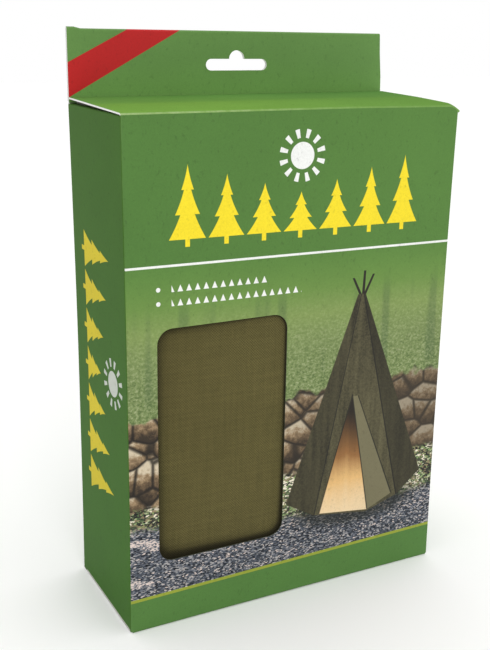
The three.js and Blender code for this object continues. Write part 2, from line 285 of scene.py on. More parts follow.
class Finish:
    """One material and the nodes that it is built from. A value may be a number or another node's output."""

    def __init__(self, name, roughness):
        self.material = bpy.data.materials.new(name)
        self.material.use_nodes = True
        self.tree = self.material.node_tree
        self.shader = self.tree.nodes["Principled BSDF"]
        self.shader.inputs["Roughness"].default_value = roughness

    def node(self, kind, settings=None, **inputs):
        made = self.tree.nodes.new("ShaderNode" + kind)
        for name, value in (settings or {}).items():
            setattr(made, name, value)
        for name, value in inputs.items():
            self.feed(made.inputs[name.replace("_", " ")], value)
        return made

    def feed(self, socket, value):
        if isinstance(value, bpy.types.NodeSocket):
            self.tree.links.new(value, socket)
        else:
            socket.default_value = value

    def math(self, operation, a, b=0.0, c=0.0):
        made = self.node("Math", {"operation": operation})
        for socket, value in zip(made.inputs, (a, b, c)):
            self.feed(socket, value)
        return made.outputs[0]

    def times(self, first, *others):
        for other in others:
            first = self.math("MULTIPLY", first, other)
        return first

    def plus(self, first, *others):
        for other in others:
            first = self.math("ADD", first, other)
        return first

    def ramp(self, value, low, high, out_low=0.0, out_high=1.0):
        """Goes smoothly from out_low to out_high as value goes from low to high."""
        made = self.node("MapRange", {"interpolation_type": "SMOOTHSTEP"})
        for socket, number in zip(made.inputs, (value, low, high, out_low, out_high)):
            self.feed(socket, number)
        return made.outputs["Result"]

    def mix(self, share, first, second):
        """Two colours, from first at share 0 to second at share 1."""
        made = self.node("Mix", {"data_type": "RGBA"})
        for name, value in (("Factor_Float", share), ("A_Color", first), ("B_Color", second)):
            socket = next(s for s in made.inputs if s.identifier == name)
            self.feed(socket, (*value, 1) if isinstance(value, tuple) and len(value) == 3 else value)
        return next(s for s in made.outputs if s.identifier == "Result_Color")

    def tones(self, value, *stops):
        """A colour that changes with value, through the stops given as (value from 0 to 1, colour)."""
        made = self.node("ValToRGB", Fac=value)
        points = made.color_ramp.elements
        while len(points) < len(stops):
            points.new(1.0)
        for point, (position, colour) in zip(points, stops):
            point.position = position
            point.color = (*colour, 1)
        return made.outputs["Color"]

    def distance(self, a, b):
        """How far a point is from a centre, from its two steps aside."""
        return self.math("SQRT", self.plus(self.times(a, a), self.times(b, b)))

    def scaled(self, vector, scale):
        made = self.node("VectorMath", {"operation": "SCALE"}, Vector=vector, Scale=scale)
        return made.outputs["Vector"]

    def split(self, vector, *axes):
        outputs = self.node("SeparateXYZ", Vector=vector).outputs
        return [outputs[axis] for axis in axes]

    def object_place(self):
        return self.node("TexCoord").outputs["Object"]

    def place(self, *axes):
        """Where a point is on the piece along the axes named, in millimetres."""
        return self.split(self.scaled(self.object_place(), 1000.0), *axes)

    def join(self, x=0.0, y=0.0, z=0.0):
        return self.node("CombineXYZ", X=x, Y=y, Z=z).outputs["Vector"]

    def noise(self, place, scale, detail=2.0, rough=0.5):
        made = self.node("TexNoise", Vector=place, Scale=scale, Detail=detail, Roughness=rough)
        return made.outputs["Fac"]

    def cells(self, place, scale, feature="F1"):
        """The outputs of a pattern of cells, such as stones or leaves."""
        return self.node("TexVoronoi", {"feature": feature}, Vector=place, Scale=scale).outputs

    def channel(self, colour, name):
        return self.node("SeparateColor", Color=colour).outputs[name]

    def within(self, value, low, high, edge=0.1):
        """1 where value is between low and high, and 0 elsewhere."""
        above = self.ramp(value, low - edge, low + edge)
        return self.times(above, self.ramp(value, high - edge, high + edge, 1, 0))

    def inside(self, x, z, *corners, edge=0.1):
        """1 inside a convex outline, whose corners go round counter-clockwise, and 0 outside it."""
        masks = []
        for (x0, z0), (x1, z1) in zip(corners, corners[1:] + corners[:1]):
            length = math.hypot(x1 - x0, z1 - z0)
            lean, run = (z0 - z1) / length, (x1 - x0) / length
            distance = self.plus(self.times(x, lean), self.times(z, run), -x0 * lean - z0 * run)
            masks.append(self.ramp(distance, -edge, edge))
        return self.times(*masks)

    def colour(self, value):
        self.feed(self.shader.inputs["Base Color"], value)

    def bump(self, height, distance, strength=1.0):
        made = self.node("Bump", Height=height, Distance=distance, Strength=strength)
        self.feed(self.shader.inputs["Normal"], made.outputs["Normal"])


def bare_board(name, colour, roughness):
    """Unprinted board: matt, with faint fibres."""
    finish = Finish(name, roughness)
    fibres = finish.noise(finish.object_place(), 900, 4, 0.6)
    darker = tuple(0.82 * c for c in colour)
    finish.colour(finish.mix(fibres, darker, colour))
    finish.bump(fibres, 0.05 * MM, 0.5)
    return finish.material


bare_inside = bare_board("bare_board_inside", (0.62, 0.60, 0.55), 0.85)
bare_edge = bare_board("bare_board_edge", (0.97, 0.97, 0.95), 0.8)
# the window's cut edge is dark olive, not pale like the other cut edges: painted shade along the window's
# rim
window_edge_in_painted_shade = bare_board("window_cut_edge_in_painted_shade", (0.050, 0.055, 0.028), 0.8)

LEAF_GREEN = (0.094, 0.219, 0.042)
DEEP_GREEN = (0.082, 0.198, 0.038)
YELLOW = (0.93, 0.74, 0.022)
WHITE = (0.90, 0.91, 0.88)
OLIVE_LINE = (0.31, 0.365, 0.040)
RIBBON_RED = (0.545, 0.013, 0.014)
INK_ROUGHNESS = 0.46

# half the carton's width and depth in millimetres, and how far each printed line drops in a millimetre
HALF_WIDTH, HALF_DEPTH = 82.5, 32.5
WHITE_SLOPE, OLIVE_SLOPE = 0.0098, -0.0145


def pressed(ink, print_colour, worn=0.0, gloss=0.22):
    """Finishes a print: fine grain and small darker flecks in the ink, pale where the creases are worn, and
    a satin varnish over the fibres of the board."""
    place = ink.object_place()
    grain = ink.noise(place, 1500, 3, 0.7)
    cloud = ink.noise(place, 45, 3, 0.5)
    tilted = ink.node("Mapping", Vector=place)
    tilted.inputs["Rotation"].default_value = (0.3, 0.6, 0.2)
    tilted.inputs["Scale"].default_value = (1.0, 1.0, 0.7)
    shade = ink.times(
        ink.ramp(ink.noise(tilted.outputs["Vector"], 560, 3, 0.7), 0.56, 0.74, 1.0, 0.80),
        ink.ramp(grain, 0.25, 0.75, 1.0, 0.89),
        ink.ramp(cloud, 0.3, 0.7, 1.0, 0.95),
    )
    ink.colour(ink.mix(worn, ink.scaled(print_colour, shade), (0.62, 0.70, 0.45)))
    ink.shader.inputs["Specular IOR Level"].default_value = gloss
    ink.bump(ink.plus(ink.noise(place, 700, 3, 0.6), ink.times(grain, 0.4)), 0.03 * MM, 0.5)
    return ink.material


def emblem(ink, ground, along, up, yellow, white):
    """The printed badge: seven yellow firs in a row, lower towards the middle, with a white sun over them.
    The row is 126 mm long, and along and up are measured in millimetres from the middle of its foot."""
    pitch, count = 18.0, 7
    shortest, growth = 17.0, 4.6
    steps = ink.math("MULTIPLY_ADD", along, 1 / pitch, count / 2)
    number = ink.math("FLOOR", steps)
    from_stem = ink.plus(steps, ink.times(number, -1), -0.5)
    aside = ink.math("ABSOLUTE", ink.times(from_stem, pitch))
    from_middle = ink.math("ABSOLUTE", ink.plus(number, (1 - count) / 2))
    tall = ink.math("MULTIPLY_ADD", from_middle, growth, shortest)
    share = ink.math("DIVIDE", up, tall)
    tier = ink.math("FRACT", ink.times(share, 3.0))
    half = ink.times(ink.math("SUBTRACT", 1.0, share), ink.math("MULTIPLY_ADD", tier, -0.42, 1.0))
    boughs = ink.ramp(ink.math("MULTIPLY_ADD", half, 8.4, ink.times(aside, -1)), -0.12, 0.12)
    trunk = ink.times(ink.within(up, -3.2, 0.4), ink.ramp(aside, 0.95, 1.15, 1, 0))
    fir = ink.math("MAXIMUM", ink.times(boughs, ink.ramp(up, -0.1, 0.1)), trunk)
    row = ink.times(fir, ink.within(along, -pitch * count / 2, pitch * count / 2))
    sun_up = ink.plus(up, -32.5)
    reach = ink.distance(along, sun_up)
    turn = ink.math("ARCTAN2", along, sun_up)
    spoke = ink.math("ABSOLUTE", ink.math("SINE", ink.times(turn, 6.0)))
    rays = ink.times(ink.within(reach, 7.6, 11.4), ink.ramp(spoke, 0.80, 0.86))
    sun = ink.math("MAXIMUM", ink.ramp(reach, 5.7, 5.9, 1, 0), rays)
    return ink.mix(sun, ink.mix(row, ground, yellow), white)


def above_line(ink, across, z, level, slope=WHITE_SLOPE):
    """How far a point is over a printed line that is at a level in the middle of its panel."""
    return ink.math("MULTIPLY_ADD", across, slope, ink.plus(z, -level))


def above_olive(ink, across, z):
    return above_line(ink, across, z, 17.0, OLIVE_SLOPE)


def ruled(ink, picture, across, z, ground_top, ground_foot):
    """The two rules, which run nearly level: a white one under the top ground and an olive one over the
    foot ground."""
    over_white = above_line(ink, across, z, 167.85)
    over_olive = above_olive(ink, across, z)
    layered = ink.mix(ink.ramp(over_white, -0.1, 0.1), picture, ground_top)
    layered = ink.mix(ink.within(over_white, -0.5, 0.5), layered, WHITE)
    layered = ink.mix(ink.ramp(over_olive, -0.1, 0.1, 1, 0), layered, ground_foot)
    return ink.mix(ink.within(over_olive, -0.75, 0.75), layered, OLIVE_LINE)


def meadow(ink, x, z):
    """The printed scenery: a misty meadow, and under it boulders, leaf litter and gravel."""
    place = ink.object_place()
    far = ink.tones(
        ink.ramp(z, 95, 178),
        (0.0, (0.165, 0.225, 0.075)),
        (0.30, (0.215, 0.290, 0.098)),
        (0.55, (0.232, 0.328, 0.092)),
        (0.75, (0.150, 0.276, 0.058)),
        (1.0, (0.094, 0.222, 0.042)),
    )
    blades = ink.noise(ink.join(ink.times(x, 0.9), z, ink.times(z, 0.35)), 0.85, 4, 0.7)
    deep = ink.ramp(z, 104, 158, 0.75, 0.0)
    tuft_tones = ((0.36, (0.070, 0.120, 0.035)), (0.5, (0.190, 0.260, 0.090)), (0.66, (0.42, 0.47, 0.25)))
    grass = ink.mix(deep, far, ink.tones(blades, *tuft_tones))
    trunks = ink.ramp(ink.noise(ink.join(x, ink.times(z, 0.03)), 0.11, 1), 0.54, 0.66, 0.0, 0.38)
    grass = ink.mix(ink.times(trunks, ink.within(z, 108, 150, 7)), grass, (0.060, 0.115, 0.045))
    stones_per_mm = 0.075
    up_stone = ink.times(z, 1.3)
    in_stone = ink.join(x, 3.0, up_stone)
    middle = ink.split(ink.cells(in_stone, stones_per_mm)["Position"], "Z")[0]
    lit_top = ink.times(ink.math("SUBTRACT", up_stone, middle), stones_per_mm)
    gap = ink.cells(in_stone, stones_per_mm, "DISTANCE_TO_EDGE")["Distance"]
    stone_grain = ink.ramp(ink.noise(place, 380, 5, 0.75), 0.3, 0.7, -0.20, 0.20)
    boulders = ink.tones(
        ink.plus(ink.times(lit_top, 0.8), 0.5, stone_grain),
        (0.05, (0.040, 0.028, 0.018)),
        (0.35, (0.150, 0.098, 0.052)),
        (0.60, (0.36, 0.25, 0.14)),
        (0.85, (0.66, 0.56, 0.40)),
    )
    boulders = ink.mix(ink.ramp(gap, 0.01, 0.10, 0.92, 0.0), boulders, (0.016, 0.013, 0.010))
    boulders = ink.mix(ink.ramp(x, -20, 30, 0.0, 0.55), boulders, (0.060, 0.045, 0.028))
    uneven = ink.times(ink.plus(ink.noise(place, 60, 3), -0.5), 22.0)
    brow = ink.ramp(ink.plus(z, uneven), 101.5, 103.5, 1, 0)
    layered = ink.mix(brow, grass, boulders)
    leaf = ink.cells(ink.join(x, 1.0, ink.times(z, 1.7)), 0.85)
    leaf_tone = ink.channel(leaf["Color"], "Red")
    patches = ink.ramp(ink.noise(place, 75, 3), 0.35, 0.65, -0.22, 0.22)
    litter = ink.tones(
        ink.plus(leaf_tone, patches),
        (0.10, (0.010, 0.012, 0.010)),
        (0.35, (0.060, 0.055, 0.040)),
        (0.52, (0.065, 0.130, 0.050)),
        (0.66, (0.30, 0.21, 0.13)),
        (0.80, (0.24, 0.36, 0.13)),
        (1.0, (0.86, 0.78, 0.62)),
    )
    over_olive = above_olive(ink, x, z)
    litter_edge = ink.ramp(ink.plus(over_olive, ink.times(uneven, 0.45)), 42, 46, 1, 0)
    layered = ink.mix(litter_edge, layered, litter)
    chip = ink.cells(ink.join(x, 5.0, ink.times(z, 2.3)), 1.0)
    chip_tone = ink.channel(chip["Color"], "Green")
    sunlit = ink.times(
        ink.ramp(ink.noise(ink.join(ink.times(x, 0.2), 2.0, z), 0.16, 1), 0.50, 0.58, 0.0, 0.45),
        ink.ramp(x, -72, -45, 1, 0.1),
    )
    gravel = ink.tones(
        ink.plus(chip_tone, sunlit),
        (0.05, (0.006, 0.008, 0.013)),
        (0.40, (0.042, 0.052, 0.070)),
        (0.72, (0.135, 0.150, 0.185)),
        (0.95, (0.46, 0.44, 0.43)),
        (1.0, (0.74, 0.62, 0.56)),
    )
    banked = ink.ramp(x, -78, -30, -13.0, 0.0)
    gravel_edge = ink.ramp(ink.plus(over_olive, ink.times(uneven, 0.3), banked), 20, 24, 1, 0)
    return ink.mix(gravel_edge, layered, gravel)


def tent(ink, ground, x, z):
    """The printed tent: dark olive cloth on crossed poles, with a lit opening and a flap turned back."""
    shadow_across = ink.times(ink.plus(x, -36.0), 1 / 43.0)
    shadow_up = ink.times(ink.plus(z, -39.0), 1 / 12.0)
    shadow = ink.ramp(ink.distance(shadow_across, shadow_up), 0.55, 1.05, 0.8, 0.0)
    ground = ink.mix(shadow, ground, (0.012, 0.015, 0.010))
    pole = (0.022, 0.018, 0.013)
    for foot, head in (((36.5, 138), (28.5, 154)), ((31.0, 138), (39.5, 155)), ((33.6, 138), (34.6, 157))):
        rod = ink.inside(x, z, foot, (foot[0] + 1.7, foot[1]), (head[0] + 1.2, head[1]), head, edge=0.15)
        ground = ink.mix(rod, ground, pole)
    weave = ink.noise(ink.object_place(), 1100, 2, 0.7)
    folds = ink.noise(ink.join(ink.times(x, 1.6), ink.times(z, 0.12)), 0.16, 2)
    cloth = ink.tones(
        ink.plus(ink.times(folds, 0.8), ink.ramp(weave, 0.3, 0.7, -0.10, 0.10)),
        (0.15, (0.030, 0.027, 0.014)),
        (0.42, (0.085, 0.076, 0.038)),
        (0.62, (0.125, 0.112, 0.056)),
        (0.85, (0.165, 0.150, 0.080)),
    )
    outline = ((-3.5, 47), (12, 38), (42, 33.5), (60, 39), (74, 50), (36.2, 146), (32, 146))
    whole = ink.inside(x, z, *outline, edge=0.2)
    left_side = ink.inside(x, z, (-9, 48), (12, 38), (33.4, 146), (20, 146))
    right_side = ink.inside(x, z, (60, 39), (90, 40), (60, 146), (35.2, 146))
    for shady_side, depth in ((left_side, 0.45), (right_side, 0.62)):
        cloth = ink.mix(ink.times(shady_side, depth), cloth, (0.020, 0.018, 0.010))
    lit = ink.tones(
        ink.ramp(ink.plus(z, ink.times(folds, 10.0)), 38, 96),
        (0.0, (0.86, 0.66, 0.40)),
        (0.28, (0.80, 0.50, 0.20)),
        (0.60, (0.30, 0.14, 0.045)),
        (1.0, (0.018, 0.014, 0.009)),
    )
    opening = ink.inside(x, z, (15, 38.2), (43, 34.5), (31.5, 96))
    turned = ink.inside(x, z, (43, 34.5), (57, 40.5), (34.5, 96), (31.5, 96))
    cloth = ink.mix(opening, cloth, lit)
    cloth = ink.mix(turned, cloth, (0.185, 0.168, 0.092))
    wall_seams = (((12, 38), (33.6, 146)), ((60, 39), (35.0, 146)))
    flap_seams = (((42.7, 34.5), (31.2, 97)), ((56.8, 40.5), (34.4, 96)), ((14.8, 38.2), (31.2, 97)))
    for low, high in wall_seams + flap_seams:
        seam = ink.inside(x, z, low, (low[0] + 0.7, low[1]), (high[0] + 0.5, high[1]), high, edge=0.2)
        cloth = ink.mix(ink.times(seam, 0.85), cloth, (0.012, 0.012, 0.010))
    return ink.mix(whole, ground, cloth)


def dots(ink, ground, x, z):
    """Two white dots, each with a line of small white firs beside it."""
    for row, run in ((158.0, 52.0), (151.9, 69.0)):
        rise = above_line(ink, x, z, row)
        aside = ink.plus(x, 67.4)
        dot = ink.ramp(ink.distance(aside, rise), 0.85, 1.1, 1, 0)
        cell = ink.math("ABSOLUTE", ink.plus(ink.math("FRACT", ink.times(aside, 0.25)), -0.5))
        width = ink.math("MULTIPLY_ADD", rise, -0.11, 0.17)
        fir = ink.times(
            ink.ramp(ink.math("MULTIPLY_ADD", cell, -1.0, width), -0.03, 0.03),
            ink.within(rise, -1.4, 1.5, 0.08),
            ink.within(aside, 6, run, 0.08),
        )
        ground = ink.mix(ink.math("MAXIMUM", dot, fir), ground, WHITE)
    return ground


def worn_along(ink, distance, reach, amount):
    """Ink rubbed thin along a crease, more in some places than in others."""
    patchy = ink.ramp(ink.noise(ink.object_place(), 160, 5, 0.75), 0.30, 0.75, 0.25 * amount, amount)
    return ink.times(patchy, ink.ramp(distance, 0.25 * reach, reach, 1, 0))


def upright_wear(ink, across, half):
    """The faint wear along the two upright creases of a panel."""
    from_crease = ink.math("SUBTRACT", half, ink.math("ABSOLUTE", across))
    return worn_along(ink, from_crease, 0.9, 0.06)


def printed_front():
    ink = Finish("printed_front", INK_ROUGHNESS)
    x, z = ink.place("X", "Z")
    top_ground = ink.mix(ink.ramp(x, -80, 80), DEEP_GREEN, LEAF_GREEN)
    top_ground = emblem(ink, top_ground, x, above_line(ink, x, z, 178.5), YELLOW, WHITE)
    scenery = tent(ink, dots(ink, meadow(ink, x, z), x, z), x, z)
    print_colour = ruled(ink, scenery, x, z, top_ground, (0.085, 0.207, 0.043))
    return pressed(ink, print_colour, upright_wear(ink, x, HALF_WIDTH))


def side_print_in_painted_shade(name):
    ink = Finish(name, INK_ROUGHNESS)
    y, z = ink.place("Y", "Z")
    # painted shade: the green ground, the yellow and the white are darker copies of the front's, for a side
    # that faces away from the light
    ground = ink.mix(ink.ramp(z, 0, 231), (0.056, 0.158, 0.021), (0.057, 0.151, 0.020))
    along = ink.math("SUBTRACT", 114.0, z)
    up = ink.math("SUBTRACT", 17.5, y)
    badge = emblem(ink, ground, along, up, (0.73, 0.60, 0.036), (0.61, 0.65, 0.58))
    return pressed(ink, badge, upright_wear(ink, y, HALF_DEPTH), gloss=0.03)


def printed_tab():
    ink = Finish("printed_tab", INK_ROUGHNESS)
    x, z = ink.place("X", "Z")
    ribbon = ink.inside(x, z, (-85, 231.2), (-28.8, 261.6), (-20, 266.4), (-45, 266.4), (-85, 246.3))
    ground = ink.mix(ink.ramp(z, 229, 252), (0.158, 0.333, 0.074), (0.131, 0.274, 0.066))
    return pressed(ink, ink.mix(ribbon, ground, RIBBON_RED))


def printed_back():
    ink = Finish("printed_back", INK_ROUGHNESS)
    x, z = ink.place("X", "Z")
    plain = ink.mix(ink.ramp(z, 30, 170), (0.145, 0.250, 0.070), LEAF_GREEN)
    print_colour = ruled(ink, plain, ink.times(x, -1), z, DEEP_GREEN, DEEP_GREEN)
    return pressed(ink, print_colour, upright_wear(ink, x, HALF_WIDTH))


def lid_print_with_painted_shade():
    ink = Finish("lid_print_with_painted_shade", INK_ROUGHNESS)
    x, y = ink.place("X", "Y")
    # the green is lighter towards the front crease and darker towards the rear, where it is a painted shadow
    # of the tab
    ground = ink.tones(
        ink.ramp(y, -HALF_DEPTH, HALF_DEPTH),
        (0.0, (0.178, 0.345, 0.062)),
        (0.42, (0.170, 0.330, 0.060)),
        (0.64, (0.137, 0.285, 0.060)),
        (1.0, (0.132, 0.290, 0.066)),
    )
    # painted shade: the green darkens towards the right
    ground = ink.mix(ink.ramp(x, -50, 60, 0.0, 0.38), ground, (0.110, 0.245, 0.064))
    worn = worn_along(ink, ink.plus(y, HALF_DEPTH), 0.7, 0.42)
    fading = ink.ramp(x, -60, 40, 1.0, 0.25)
    return pressed(ink, ground, ink.times(fading, worn), gloss=0.0)


# the outside of each panel is printed with its own part of the artwork, and the flaps are left bare but
# for the few millimetres of ink that run over their creases
OUTSIDE = {
    "front": printed_front(),
    "left": side_print_in_painted_shade("printed_left_side_in_painted_shade"),
    "right": side_print_in_painted_shade("printed_right_side_in_painted_shade"),
    "tab": printed_tab(),
    "back": printed_back(),
    "lid": lid_print_with_painted_shade(),
}
PRINTS = list(OUTSIDE)
BARE_INSIDE, BARE_EDGE, WINDOW_EDGE_IN_PAINTED_SHADE = (len(PRINTS) + n for n in range(3))
for material in [*OUTSIDE.values(), bare_inside, bare_edge, window_edge_in_painted_shade]:
    carton.data.materials.append(material)


def which_print(centre, facing):
    """The slot of the print on an outer face, from where it is and the way that it faces."""
    if centre.z > lid_level and facing.y < 0.3:
        return PRINTS.index("tab")
    if abs(centre.x) < right - 3 * MM and centre.z < lid_level and facing.z > 0.5:
        return BARE_INSIDE
    if facing.y > 0.7 or centre.z > lid_level or facing.z < -0.7:
        return PRINTS.index("back")
    if facing.y < -0.7:
        return PRINTS.index("front")
    return PRINTS.index("left" if centre.x < 0 else "right")


for face in carton.data.polygons:
    face.material_index = which_print(face.center, face.normal)


def give_thickness(obj, thickness):
    """Turns a printed sheet into board: the inside is bare and the cut edges are bare and white."""
    outer = len(obj.data.polygons)
    apply_modifier(obj, "SOLIDIFY", thickness=thickness, offset=-1, use_even_offset=True, use_rim=True)
    for face in obj.data.polygons[outer:]:
        face.material_index = BARE_INSIDE if face.index < 2 * outer else BARE_EDGE


give_thickness(carton, board)


def hole_in(node):
    """The lowest and highest corner of the hole in a flat CAD panel."""
    low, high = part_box(node)
    inside = [
        v.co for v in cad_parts[node].data.vertices
        if low.x + MM < v.co.x < high.x - MM and low.z + MM < v.co.z < high.z - MM
    ]
    return (
        Vector((min(c.x for c in inside), low.y, min(c.z for c in inside))),
        Vector((max(c.x for c in inside), high.y, max(c.z for c in inside))),
    )


def punch(low, high, corner, edge_slot):
    """Cuts a round-cornered hole through the board with a block that is a little deeper than the board."""
    die = block("hole_die", (low + high) / 2, high - low + Vector((0, 4 * MM, 0)))
    start_shaping(die)
    pick_edges_along(die, 1)
    bpy.ops.mesh.bevel(offset=corner, segments=8, affect="EDGES")
    end_shaping()
    for material in carton.data.materials:
        die.data.materials.append(material)
    for face in die.data.polygons:
        face.material_index = edge_slot
    apply_modifier(carton, "BOOLEAN", operation="DIFFERENCE", solver="EXACT", object=die)
    bpy.data.objects.remove(die)


window_corner = 7 * MM
# the window's rim takes the dark board, which is painted shade
punch(*hole_in("front_panel"), window_corner, WINDOW_EDGE_IN_PAINTED_SHADE)

# the display slot, through both plies of the tab: a long slot with a round bump over its middle
slot_low, slot_high = hole_in("back_panel")
slot_low.y = tab_low.y
slot_bump = 4 * MM
slot_level = Vector((slot_high.x, slot_high.y, slot_high.z - slot_bump))
punch(slot_low, slot_level, (slot_level.z - slot_low.z) * 0.499, BARE_EDGE)
bump_low = Vector((-slot_bump, slot_low.y, slot_level.z - slot_bump))
bump_high = Vector((slot_bump, slot_high.y, slot_high.z))
punch(bump_low, bump_high, slot_bump * 0.999, BARE_EDGE)


def rise_over(value, low, high):
    """0 up to low and 1 from high on, with a soft step between them."""
    share = min(1.0, max(0.0, (value - low) / (high - low)))
    return share * share * (3 - 2 * share)


def handled(obj):
    """Bends the board as handling has: the sides draw in at half height, the top corner at the right front
    sags and its tip curls down, the tab leans in at its right end and stands up in a small ear at the left
    end of its fold, the foot is a little hollow, and the front and back are a little uneven."""
    draw_in, foot_hollow, unevenness = 0.65 * MM, 0.25 * MM, 0.22 * MM
    sag, curl_out, curl_down = 0.6 * MM, 1.0 * MM, 2.7 * MM
    tab_lean, tab_ear = 1.9 * MM, 0.7 * MM
    for vertex in obj.data.vertices:
        place = vertex.co.copy()
        up = min(1.0, max(0.0, place.z / lid_level))
        bow = math.sin(math.pi * up)
        vertex.co.x -= math.copysign(draw_in * bow * (place.x / right) ** 10, place.x)
        vertex.co.z += foot_hollow * (1 - rise_over(up, 0.0, 0.1)) * (1 - (place.x / right) ** 2)
        toward_right = rise_over(place.x, 15 * MM, right)
        toward_front = 1 - rise_over(place.y, front, 4 * MM)
        vertex.co.z -= sag * toward_right * toward_front * rise_over(place.z, 185 * MM, 229 * MM)
        curl = max(0.0, (place.x - curl_lines[0]) / (right - curl_lines[0])) ** 2
        curl *= max(0.0, 1 - max(0.0, place.y - front - 0.5 * MM) / (9 * MM)) ** 2
        curl *= rise_over(place.z, lid_level - 16 * MM, lid_level - crease_radius)
        vertex.co.x += curl_out * curl * rise_over(place.z, lid_level - crease_radius, lid_level)
        vertex.co.z -= curl_down * curl
        on_tab = rise_over(place.z, lid_level + MM, tab_high.z)
        vertex.co.x -= tab_lean * on_tab * rise_over(place.x, 45 * MM, right)
        vertex.co.z -= MM * on_tab * (0.3 + 0.55 * place.x / right)
        vertex.co.z += tab_ear * on_tab * rise_over(-place.x, -ear_lines[1], -ear_lines[0])
        uneven = noise.noise(place / (55 * MM) + Vector((7.3, 2.1, 4.4)))
        if abs(place.y) > back - 1.5 * MM:
            vertex.co.y -= math.copysign(unevenness * (1 + uneven) * bow, place.y)


handled(carton)
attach(carton, "carton")
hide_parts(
    "front_panel",
    "left_side_panel",
    "right_side_panel",
    "back_panel",
    "hang_tab_front_ply",
    "top_dust_flap_left",
    "top_dust_flap_right",
    "bottom_panel",
    "bottom_tuck_flap",
)


# The lid: the same blank goes on over the front's top crease into the top panel, and its tuck flap goes
# down inside the back. The crease is worn white, and the corner at the right has sagged.

lid_rear = lid_high.y
tuck_lean = math.radians(9)
tuck_length = 14 * MM
flat_front, flat_rear = front + crease_radius, lid_rear - flap_crease_radius
lid_middle = ((left + right) / 2, (flat_front + flat_rear) / 2, lid_level)
bpy.ops.mesh.primitive_plane_add(size=1, location=lid_middle)
lid = bpy.context.object
lid.name = "lid_board"
lid.scale = (right - left, flat_rear - flat_front, 1)
apply_place()

start_shaping(lid)
pick(lid, "EDGE", lambda c: near(c.y, flat_front))
roll_over((0, flat_front, lid_level - crease_radius), (1, 0, 0), HALF_TURN / 2)
pick(lid, "EDGE", lambda c: near(c.y, flat_rear))
tuck_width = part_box("top_tuck_flap")[1].x / right
roll_over((0, flat_rear, lid_level - flap_crease_radius), (1, 0, 0), -HALF_TURN / 2 - tuck_lean)
bpy.ops.transform.resize(value=(tuck_width, 1, 1))
tuck_run = tuck_length - flap_crease_radius
carry(y=-tuck_run * math.sin(tuck_lean), z=-tuck_run * math.cos(tuck_lean))
pick(lid, "VERT", lambda c: c.z < lid_level - tuck_length * 0.8)
bpy.ops.mesh.bevel(offset=7 * MM, segments=6, affect="VERTICES")
cut_grid(lid, lines_across + curl_lines, (1, 0, 0))
cut_grid(lid, lines_deep + [front + n * MM for n in (1.8, 3.2, 5, 7)], (0, 1, 0))
end_shaping()
for material in carton.data.materials:
    lid.data.materials.append(material)
for face in lid.data.polygons:
    face.material_index = PRINTS.index("lid") if face.center.z > lid_level - 3 * MM else BARE_INSIDE
give_thickness(lid, board)
lid_spring = 1.7 * MM  # how far it stands up at its rear
for vertex in lid.data.vertices:
    vertex.co.z += lid_spring * (vertex.co.y - front) / (lid_rear - front)
handled(lid)
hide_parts("top_panel", "top_tuck_flap")
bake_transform(lid)


# The glued seam inside the left rear corner, and the two dust flaps under the bundle: bare board that the
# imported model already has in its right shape.

for name in ("seam_flap", "bottom_dust_flap_left", "bottom_dust_flap_right"):
    flap_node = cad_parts[name]
    flap_node.data.materials.clear()
    flap_node.data.materials.append(bare_inside)


# The folded canvas: a band of several plies of plain-woven cotton duck, folded like a fan in eight
# layers. It stands on the bottom flaps, is puffed out in the middle, and shows behind the window.

canvas_low, canvas_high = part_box("canvas_body")
canvas_wall = 2.4 * MM
clearance = 0.6 * MM
pillow = 3.6 * MM
corner_drop = 4.2 * MM
half_band = canvas_high.x
bundle_front = front + board + clearance
bundle_back = back - 2 * board - clearance
bundle_foot = canvas_low.z
bundle_height = 212 * MM
# how far each end and turn of the band stops short of the bundle's top or foot, as a share of its height
turn_short = (0.012, 0, 0.016, 0.012, 0, 0.004, 0.009, 0.008, 0.035)
layers = len(turn_short) - 1
layer_pitch = (bundle_back - bundle_front - canvas_wall) / (layers - 1)


def pillow_shift(place, layer):
    """How far the middle of the bundle's faces stands out past their edges, shared out by layer."""
    across = place.x / half_band
    along = 2 * (place.z - bundle_foot) / bundle_height - 1
    crown = (1 - across**2) * (1 - min(1, along**4))
    return pillow * (1 - crown) * (1 - 2 * layer / (layers - 1))


def settle(obj, layer_of):
    """Puffs a folded piece out with the bundle and rounds its top corners down."""
    for vertex in obj.data.vertices:
        place = vertex.co.copy()
        up = (place.z - bundle_foot) / bundle_height
        vertex.co.y += pillow_shift(place, layer_of(place))
        vertex.co.z -= corner_drop * (place.x / half_band) ** 6 * up**2


def layer_at(place):
    return (place.y - bundle_front - canvas_wall / 2) / layer_pitch


def turn_level(index):
    """Where the middle of the cloth ends or turns, as a height."""
    inside = turn_short[index] * bundle_height + canvas_wall / 2
    return bundle_foot + inside if index % 2 else bundle_foot + bundle_height - inside


def first_edge(name, start, half_width, outward):
    """The first edge of a band, from which it is then extruded. Outward is the way that the edge faces."""
    start, outward = Vector(start), Vector(outward)
    bpy.ops.mesh.primitive_plane_add(size=2 * half_width, location=start - outward * half_width)
    band = bpy.context.object
    band.name = name
    apply_place()
    start_shaping(band)
    pick(band, "VERT", lambda c: (c - start).dot(outward) < -half_width)
    bpy.ops.mesh.delete(type="VERT")
    pick(band, "EDGE", lambda c: True)
    return band


def thicken(obj, thickness, rounding, segments=2, offset=0):
    """Gives a band of cloth its thickness and rounds its edges."""
    apply_modifier(obj, "SOLIDIFY", thickness=thickness, offset=offset, use_even_offset=True)
    apply_modifier(obj, "BEVEL", width=rounding, segments=segments, limit_method="ANGLE", angle_limit=1.0)


